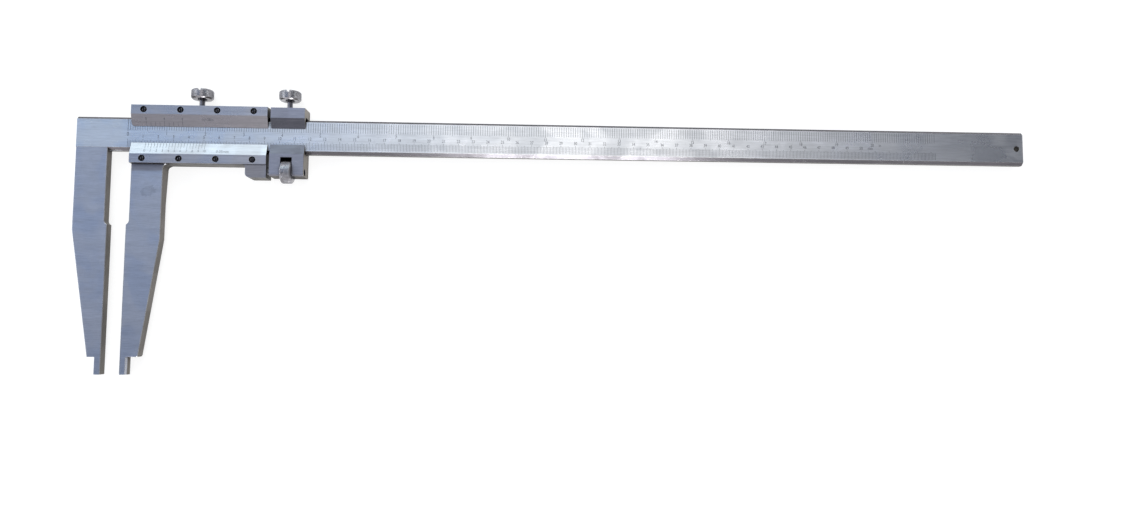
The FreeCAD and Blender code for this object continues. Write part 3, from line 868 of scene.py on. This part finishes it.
def make_lock_screw(node, body):
    """A knurled lock screw with a threaded shank, a neck and a coin slot."""
    low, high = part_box(node)
    middle = (low + high) / 2
    knob = (high.x - low.x) / 2
    knob_thickness = 6.4 * MM
    tip = 0.55 * MM
    point = 1.0 * MM
    point_taper = 0.25 * MM
    point_length = 0.58 * MM
    shank = 1.8 * MM
    shank_chamfer = 0.3 * MM
    neck_length = 5.2 * MM
    neck_step = 0.15 * MM
    boss = 3.0 * MM
    boss_height = 0.8 * MM
    boss_taper = 0.25 * MM
    under_face = knob - 1.6 * MM
    under_chamfer = 1.0 * MM
    top_chamfer = 0.8 * MM
    dish_rim = knob - 1.5 * MM
    dish = knob - 2.0 * MM
    dish_depth = 0.35 * MM
    under = high.y - knob_thickness
    margin = 0.01 * MM
    shank_start = low.y + point_length
    neck_start = under - neck_length
    base = Vector((middle.x, 0, middle.z))
    rings = [(plain(tip), low.y), (plain(point), low.y + point_taper),
             (plain(point), shank_start), (plain(shank - shank_chamfer), shank_start)]
    rings += thread_rings(shank, shank_start + shank_chamfer, neck_start)
    rings += [(plain(shank), neck_start + neck_step), (plain(shank), under - boss_height),
              (plain(boss), under - boss_height + boss_taper), (plain(boss), under),
              (plain(under_face), under)]
    rings += knurl_rings(knob, under, high.y, under_chamfer, top_chamfer)
    rings += [(plain(dish_rim), high.y), (plain(dish), high.y - dish_depth)]
    steps = 4 * settings().knurls.teeth
    mesh, loops = turned_mesh(rings, steps, axis_frame(base, (0, 1, 0), (1, 0, 0)))
    close_ends(mesh, loops)
    for face in mesh.faces:
        face.material_index = int(face.calc_center_median().y < under - margin)
    name = node.replace("_screw", "_knob")
    piece = finished_piece(name, mesh, chrome_finish(), body)
    piece.data.materials.append(plated_material("shank_finish", settings().steel.shank, 0.30))
    half_slot = 1.0 * MM
    slot_depth = 1.6 * MM
    cut_with_box(piece, Vector((middle.x - half_slot, high.y - slot_depth, low.z - MM)),
                 Vector((middle.x + half_slot, high.y + MM, high.z + MM)))
    shade_by_angle(piece, KNURL_EDGE_ANGLE)
    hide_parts(node)
    return piece


def make_nut():
    """The knurled nut that turns on the fine screw."""
    low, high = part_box("fine_adjust_nut")
    middle = (low + high) / 2
    outer = (high.y - low.y) / 2
    bore = 2.05 * MM
    end_face = outer - 2.2 * MM
    chamfer = 0.8 * MM
    width = high.x - low.x
    rings = [(plain(bore), 0.0), (plain(end_face), 0.0)]
    rings += knurl_rings(outer, 0.0, width, chamfer, chamfer)
    rings += [(plain(end_face), width), (plain(bore), width)]
    base = Vector((low.x, middle.y, middle.z))
    steps = 4 * settings().knurls.teeth
    mesh, loops = turned_mesh(rings, steps, axis_frame(base, (1, 0, 0), (0, 1, 0)))
    for step in range(steps):
        after = (step + 1) % steps
        mesh.faces.new((loops[-1][step], loops[-1][after], loops[0][after], loops[0][step]))
    piece = finished_piece("knurled_feed_nut", mesh, chrome_finish(), "nut_body")
    shade_by_angle(piece, KNURL_EDGE_ANGLE)
    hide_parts("fine_adjust_nut")
    return piece


def make_fine_screw():
    """The threaded rod between the slider's lug and the clamp block."""
    low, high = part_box("fine_adjust_screw")
    middle = (low + high) / 2
    radius = (high.y - low.y) / 2
    length = high.x - low.x
    plain_end = 11.5 * MM
    thread_gap = 0.1 * MM
    tip = 0.4 * MM
    rings = [(plain(radius), 0.0), (plain(radius), plain_end)]
    rings += thread_rings(radius, plain_end + thread_gap, length - tip)
    rings += [(plain(radius - tip), length)]
    base = Vector((low.x, middle.y, middle.z))
    steps = 32
    mesh, loops = turned_mesh(rings, steps, axis_frame(base, (1, 0, 0), (0, 1, 0)))
    close_ends(mesh, loops)
    piece = finished_piece("threaded_feed_rod", mesh, turned_finish(), "slider_body")
    shade_by_angle(piece, THREAD_EDGE_ANGLE)
    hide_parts("fine_adjust_screw")
    return piece


# Stage

def make_floor():
    """A pale floor with an upturned rim. The eye and the steel see it white, with a soft shadow."""
    half = 20.0
    rim_height = 1.2
    mesh = bmesh.new()
    bmesh.ops.create_grid(mesh, x_segments=1, y_segments=1, size=half)
    rim = bmesh.ops.extrude_edge_only(mesh, edges=mesh.edges[:])["geom"]
    rim_points = [part for part in rim if isinstance(part, bmesh.types.BMVert)]
    bmesh.ops.translate(mesh, vec=(0, 0, rim_height), verts=rim_points)
    data = bpy.data.meshes.new("pale_floor")
    mesh.to_mesh(data)
    mesh.free()
    floor = bpy.data.objects.new("pale_floor", data)
    bpy.context.scene.collection.objects.link(floor)
    floor.location.z = CAD_LOW.z
    material = bpy.data.materials.new("pale_floor")
    material.use_nodes = True
    tree = material.node_tree
    tree.nodes.clear()
    path = add_node(tree, "ShaderNodeLightPath").outputs
    seen = maths(tree, "MAXIMUM", path["Is Camera Ray"],
                 maths(tree, "MAXIMUM", path["Is Glossy Ray"], path["Is Transmission Ray"]))
    place = add_node(tree, "ShaderNodeTexCoord").outputs["Generated"]
    grain = noise(tree, place, 30.0)
    pale = mix_colour(tree, grain, solid((0.78, 0.78, 0.78)), solid((0.82, 0.82, 0.82)))
    lit = add_node(tree, "ShaderNodeBsdfDiffuse", {"Color": pale}).outputs[0]
    shadow_grey = solid((0.30, 0.30, 0.30))
    glow_strength = 0.84
    shadow = add_node(tree, "ShaderNodeBsdfDiffuse", {"Color": shadow_grey}).outputs[0]
    glow = add_node(tree, "ShaderNodeEmission", {"Strength": glow_strength}).outputs[0]
    white = add_node(tree, "ShaderNodeAddShader", {0: glow, 1: shadow}).outputs[0]
    surface = add_node(tree, "ShaderNodeMixShader", {0: seen, 1: lit, 2: white}).outputs[0]
    add_node(tree, "ShaderNodeOutputMaterial", {"Surface": surface})
    data.materials.append(material)


def overhead_light(tree, parts, strip):
    """The strip's light: full beyond the beam, dim just in front of it, and brighter over the jaws."""
    far = ramp(tree, parts["Y"], -0.16, 0.14, 0.38, 1.0)
    near = ramp(tree, parts["Y"], -0.95, -0.55, 0.64, 1.0)
    front = maths(tree, "MULTIPLY", ramp(tree, parts["Y"], -0.20, -0.42, 0.0, 0.5),
                  ramp(tree, parts["Y"], -0.95, -0.60))
    across = maths(tree, "ADD", maths(tree, "MULTIPLY", far, near), front)
    return maths(tree, "MULTIPLY", strip, across)


def end_light(tree, parts):
    """A faint light low at the right, and brighter ones low at both front corners."""
    low_right = ramp(tree, parts["X"], 0.74, 0.90, 0.0, 0.06)
    beside = maths(tree, "ADD", ramp(tree, parts["X"], -0.30, -0.42, 0.0, 0.55),
                   ramp(tree, parts["X"], 0.30, 0.42, 0.0, 0.25))
    corners = maths(tree, "MULTIPLY", beside, ramp(tree, parts["Y"], -0.70, -0.88))
    return maths(tree, "ADD", low_right, corners)


def sky_tint(tree, parts, neutral):
    """The sky is neutral in the strip and low down, and blue or violet elsewhere."""
    cool = mix_colour(tree, ramp(tree, parts["X"], -0.05, 0.20), solid((0.70, 0.96, 1.46)),
                      solid((0.92, 1.0, 1.26)))
    tilted = mix_colour(tree, ramp(tree, parts["Y"], -0.45, -0.05), solid((1.04, 1.0, 1.08)), cool)
    return mix_colour(tree, neutral, tilted, solid((1.02, 1.0, 0.98)))


def make_sky():
    """A soft sky: a strip overhead that dims toward the beam's ends, and an even light low down.

    Each ramp runs over one part of the direction that a ray looks in. X is 1 to the right, Y is 1
    away over the lock screws, and Z is 1 straight up.
    """
    world = bpy.data.worlds.new("soft studio sky")
    bpy.context.scene.world = world
    world.use_nodes = True
    tree = world.node_tree
    tree.nodes.clear()
    direction = add_node(tree, "ShaderNodeTexCoord").outputs["Generated"]
    parts = add_node(tree, "ShaderNodeSeparateXYZ", {0: direction}).outputs
    left = ramp(tree, parts["X"], -0.36, 0.14, 0.245, 1.0)
    right = ramp(tree, parts["X"], 0.08, 0.455, 1.0, 0.035)
    strip = maths(tree, "MULTIPLY", left, right)
    low_sky = maths(tree, "MULTIPLY", ramp(tree, parts["Z"], 0.62, 0.38), ramp(tree, parts["Z"], 0.10, 0.20))
    low_light = maths(tree, "MULTIPLY", low_sky, ramp(tree, parts["X"], 0.45, 0.80, 0.42, 0.18))
    overhead = overhead_light(tree, parts, strip)
    level = maths(tree, "ADD", maths(tree, "ADD", overhead, low_light), end_light(tree, parts))
    tint = sky_tint(tree, parts, maths(tree, "MAXIMUM", ramp(tree, strip, 0.28, 0.585), low_sky))
    strength = maths(tree, "MULTIPLY", level, settings().stage.sky_level)
    sky = add_node(tree, "ShaderNodeBackground", {"Color": tint, "Strength": strength}).outputs[0]
    add_node(tree, "ShaderNodeOutputWorld", {"Surface": sky})


def add_area_light(name, place, target, width, height, power, colour):
    """A rectangular lamp that faces a point."""
    data = bpy.data.lights.new(name, "AREA")
    data.shape = "RECTANGLE"
    data.size = width
    data.size_y = height
    data.energy = power
    data.color = colour
    lamp = bpy.data.objects.new(name, data)
    lamp.location = place
    lamp.rotation_euler = (Vector(target) - Vector(place)).to_track_quat("-Z", "Y").to_euler()
    bpy.context.scene.collection.objects.link(lamp)


def make_lights():
    """A window beyond the beam, one on the left and a low strip in front, for bevels and edges."""
    stage = settings().stage
    middle = (-0.1, 0.0, 0.0)
    add_area_light("far window", (-0.50, 1.20, 1.00), middle, 1.4, 0.8, stage.far_power, (0.80, 1.0, 0.99))
    add_area_light("left window", (-1.75, 0.15, 0.90), (-0.25, 0.0, 0.0), 0.7, 0.5, stage.left_power,
                   (1.0, 1.0, 1.0))
    add_area_light("front strip", (0.10, -1.50, 0.30), (0.05, 0.0, 0.0), 0.54, 0.30, stage.front_power,
                   (1.0, 0.99, 0.97))


def make_camera():
    """The camera that looks down on the caliper."""
    stage = settings().stage
    data = bpy.data.cameras.new("camera")
    data.sensor_fit = "HORIZONTAL"
    data.sensor_width = 36.0
    data.lens = stage.lens
    data.clip_start = 0.01
    camera = bpy.data.objects.new("camera", data)
    camera.location = stage.camera_place
    camera.rotation_euler = Euler(stage.camera_turn, "XYZ")
    bpy.context.scene.collection.objects.link(camera)
    bpy.context.scene.camera = camera
    bpy.context.scene.view_settings.view_transform = "Standard"


# Operators

class CALIPER_OT_beam(bpy.types.Operator):
    """Finish the scale bar and the rivets in it"""
    bl_idname = "caliper.beam"
    bl_label = "Beam"

    def execute(self, context):
        steel = settings().steel
        # A strong, broad edge mask paints a highlight along the beam's edges
        finish = steel_material("beam_finish", steel.beam, ALONG_BEAM, 0.30, beam_chamfers=True,
                                edge_gain=0.7, edge_radius=0.6 * MM)
        dress_node("beam", finish, 0.04 * MM)
        riveted = steel_material("rivet_finish", steel.beam, ALONG_BEAM, 0.30, edge_gain=0.0)
        for name in RIVETS:
            dress_node(name, riveted, 0.02 * MM)
        return {"FINISHED"}


class CALIPER_OT_beam_scales(bpy.types.Operator):
    """Engrave the millimetre and inch scales on the beam"""
    bl_idname = "caliper.beam_scales"
    bl_label = "Beam Scales"

    def execute(self, context):
        make_metric_scale()
        make_inch_scale()
        return {"FINISHED"}


class CALIPER_OT_jaws(bpy.types.Operator):
    """Finish the fixed jaw and the slider with its jaw"""
    bl_idname = "caliper.jaws"
    bl_label = "Jaws and Slider"

    def execute(self, context):
        steel = settings().steel
        # side_tone scales the painted shade on the side faces
        dress_node("fixed_jaw", steel_material("jaw_finish", steel.jaw, ACROSS_JAW, side_tone=0.58))
        low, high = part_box("slider_frame")
        pin_low, pin_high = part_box("fine_screw_pin")
        lug_start = pin_low.x + pin_high.x - high.x
        # A band of painted shade beside the lower plate, in the lug's colour
        band_width = 5.2 * MM
        band_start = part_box("metric_vernier_plate")[0].y - band_width
        smudge_inset = 13.5 * MM
        smudge_drop = 57.8 * MM
        smudge = Vector((low.x + smudge_inset, high.y - smudge_drop, 0.0))
        finish = steel_material("slider_finish", steel.jaw, ACROSS_JAW, side_tone=0.76,
                                lug_and_shade_places=(lug_start, band_start), smudge_centre=smudge)
        dress_node("slider_frame", finish)
        return {"FINISHED"}


class CALIPER_OT_vernier_plates(bpy.types.Operator):
    """Finish the two vernier plates and engrave their scales"""
    bl_idname = "caliper.vernier_plates"
    bl_label = "Vernier Plates"

    def execute(self, context):
        steel = settings().steel
        for name in ("inch_vernier_plate", "metric_vernier_plate"):
            dress_node(name, steel_material("plate_finish", steel.plate, ALONG_BEAM, 0.30), 0.10 * MM)
        make_metric_vernier()
        make_inch_vernier()
        return {"FINISHED"}


class CALIPER_OT_small_screws(bpy.types.Operator):
    """Finish the plate screws and the gib's set screws"""
    bl_idname = "caliper.small_screws"
    bl_label = "Small Screws"

    def execute(self, context):
        dark = plated_material("screw_finish", settings().steel.screw, 0.22)
        for name in PLATE_SCREWS + SET_SCREWS:
            dress_node(name, dark, 0.05 * MM)
        return {"FINISHED"}


class CALIPER_OT_clamp(bpy.types.Operator):
    """Finish the clamp block and both gibs"""
    bl_idname = "caliper.clamp"
    bl_label = "Clamp Block"

    def execute(self, context):
        steel = settings().steel
        # The clamp's bevels take deep painted shade, and its side faces a lighter painted tone
        finish = steel_material("clamp_finish", steel.clamp, ACROSS_JAW, 0.42, bevel_tone=0.48,
                                side_tone=1.45)
        dress_node("clamp_block", finish)
        for name in ("slider_gib", "clamp_gib"):
            dress_node(name, steel_material("gib_finish", steel.turned, ALONG_BEAM), 0.1 * MM)
        return {"FINISHED"}


class CALIPER_OT_lock_screws(bpy.types.Operator):
    """Make the two knurled lock screws"""
    bl_idname = "caliper.lock_screws"
    bl_label = "Lock Screws"

    def execute(self, context):
        make_lock_screw("slider_lock_screw", "slider_lock_body")
        make_lock_screw("clamp_lock_screw", "clamp_lock_body")
        return {"FINISHED"}


class CALIPER_OT_fine_feed(bpy.types.Operator):
    """Make the knurled nut and the threaded rod of the fine adjustment"""
    bl_idname = "caliper.fine_feed"
    bl_label = "Fine Adjustment"

    def execute(self, context):
        make_nut()
        make_fine_screw()
        dress_node("fine_screw_pin", turned_finish(), 0.05 * MM)
        return {"FINISHED"}


class CALIPER_OT_stage(bpy.types.Operator):
    """Set the floor, the light and the camera"""
    bl_idname = "caliper.stage"
    bl_label = "Stage"

    def execute(self, context):
        make_floor()
        make_sky()
        make_lights()
        make_camera()
        return {"FINISHED"}


PIECE_OPERATORS = (
    CALIPER_OT_beam, CALIPER_OT_beam_scales, CALIPER_OT_jaws, CALIPER_OT_vernier_plates,
    CALIPER_OT_small_screws, CALIPER_OT_clamp, CALIPER_OT_lock_screws, CALIPER_OT_fine_feed,
    CALIPER_OT_stage,
)


class CALIPER_PT_panel(bpy.types.Panel):
    """The caliper's tools and settings"""
    bl_idname = "CALIPER_PT_panel"
    bl_label = "Long Jaw Caliper"
    bl_space_type = "VIEW_3D"
    bl_region_type = "UI"
    bl_category = "Caliper"

    def draw(self, context):
        for operator in PIECE_OPERATORS:
            self.layout.operator(operator.bl_idname)
        caliper = context.scene.caliper
        for group in (caliper.steel, caliper.scales, caliper.knurls, caliper.stage):
            box = self.layout.box()
            for key in group.__annotations__:
                box.prop(group, key)


CLASSES = (CaliperSteel, CaliperScales, CaliperKnurls, CaliperStage, CaliperSettings,
           *PIECE_OPERATORS, CALIPER_PT_panel)


def register():
    """Add the settings, the operators and the panel."""
    for item in CLASSES:
        bpy.utils.register_class(item)
    bpy.types.Scene.caliper = bpy.props.PointerProperty(type=CaliperSettings)


def unregister():
    """Take them away again."""
    del bpy.types.Scene.caliper
    for item in reversed(CLASSES):
        bpy.utils.unregister_class(item)


def main():
    """Dress the whole caliper and set its stage."""
    register()
    bpy.ops.caliper.beam()
    bpy.ops.caliper.beam_scales()
    bpy.ops.caliper.jaws()
    bpy.ops.caliper.vernier_plates()
    bpy.ops.caliper.small_screws()
    bpy.ops.caliper.clamp()
    bpy.ops.caliper.lock_screws()
    bpy.ops.caliper.fine_feed()
    bpy.ops.caliper.stage()


if __name__ == "__main__":
    main()
